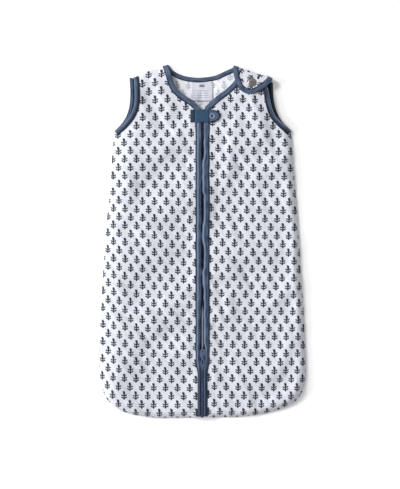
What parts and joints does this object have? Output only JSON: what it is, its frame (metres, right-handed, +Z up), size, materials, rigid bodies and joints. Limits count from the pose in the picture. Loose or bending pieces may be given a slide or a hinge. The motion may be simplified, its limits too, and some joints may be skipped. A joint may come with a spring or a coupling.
{
  "type": "baby sleeping bag",
  "caption": "Flat-laid sleeveless baby sleeping bag in printed cotton with bound edges, a front zip under a snap tab and a snapped shoulder flap.",
  "frame": {"origin": "centre of the bag's outline, on the surface it lies on", "axes": "+Z up out of the front, +Y from the hem to the neck, +X to the viewer's right when the front is looked at"},
  "size_m": [0.4094, 0.7003, 0.0178],
  "materials": {
    "print_cotton": "woven cotton printed with small sprigs",
    "binding": "matt bias binding",
    "tab_cloth": "matt twill",
    "zip_tape": "woven tape",
    "zip_coil": "moulded nylon coil",
    "zip_fitting": "moulded nylon",
    "slider_enamel": "baked enamel",
    "snap_metal": "pressed and plated",
    "snap_cap_metal": "dull gunmetal plating",
    "label_cloth": "woven satin tape"
  },
  "bodies": {
    "bag": {"back_panel": "print_cotton", "front_panel_left": "print_cotton", "front_panel_right": "print_cotton", "side_seam_left": "print_cotton", "side_seam_right": "print_cotton", "hem_seam": "print_cotton", "shoulder_seam_left": "print_cotton", "size_label": "label_cloth", "neck_binding_back": "binding", "neck_binding_shoulder_left": "binding", "neck_binding_strap_right": "binding", "armhole_binding_left_back": "binding", "armhole_binding_left_front": "binding", "armhole_binding_right_back": "binding", "armhole_binding_right_front": "binding", "placket_binding_left": "binding", "placket_binding_right": "binding", "placket_ridge": "binding", "placket_tape": "zip_tape", "zip_bottom_stop": "zip_fitting", "shoulder_snap_stud": "snap_metal", "shoulder_snap_backing": "snap_metal"},
    "front_left": {"lapel_left": "print_cotton", "neck_binding_front_left": "binding", "zip_binding_left": "binding", "zip_tape_left": "zip_tape", "zip_coil_left": "zip_coil", "zip_retainer_box": "zip_fitting", "neck_tab_base": "tab_cloth"},
    "front_right": {"lapel_right": "print_cotton", "neck_binding_front_right": "binding", "zip_binding_right": "binding", "zip_tape_right": "zip_tape", "zip_coil_right": "zip_coil", "zip_insertion_pin": "zip_fitting", "tab_snap_stud": "snap_metal", "tab_snap_backing": "snap_metal"},
    "slider": {"zip_slider": "slider_enamel"},
    "pull": {"zip_pull": "slider_enamel"},
    "tab": {"neck_tab": "tab_cloth", "tab_snap_ring": "snap_metal", "tab_snap_socket": "snap_metal"},
    "flap": {"shoulder_flap": "print_cotton", "flap_binding": "binding", "shoulder_snap_cap": "snap_cap_metal", "shoulder_snap_socket": "snap_metal"}
  },
  "joints": [
    {"name": "front_left_fold", "type": "hinge", "parent": "bag", "child": "front_left", "pos_m": [-0.015, -0.235, 0.0138], "axis": [0.0946, -0.9955, 0], "range_deg": [0, 115]},
    {"name": "front_right_fold", "type": "hinge", "parent": "bag", "child": "front_right", "pos_m": [0.015, -0.235, 0.0138], "axis": [0.0766, 0.9971, 0], "range_deg": [0, 115]},
    {"name": "zip_slide", "type": "slide", "parent": "front_left", "child": "slider", "axis": [0, 1, 0], "range_m": [0, 0.445]},
    {"name": "pull_swing", "type": "hinge", "parent": "slider", "child": "pull", "pos_m": [0, -0.228, 0.0159], "axis": [-1, 0, 0], "range_deg": [0, 170]},
    {"name": "tab_lift", "type": "hinge", "parent": "front_left", "child": "tab", "pos_m": [-0.015, 0.247, 0.0158], "axis": [0, -1, 0], "range_deg": [0, 105]},
    {"name": "flap_lift", "type": "hinge", "parent": "bag", "child": "flap", "pos_m": [0.05748, 0.34125, 0.0084], "axis": [-0.95, 0.3123, 0], "range_deg": [0, 160]}
  ],
  "couplings": [
    {"joint": "front_right_fold", "follows": "front_left_fold", "ratio": 1}
  ]
}
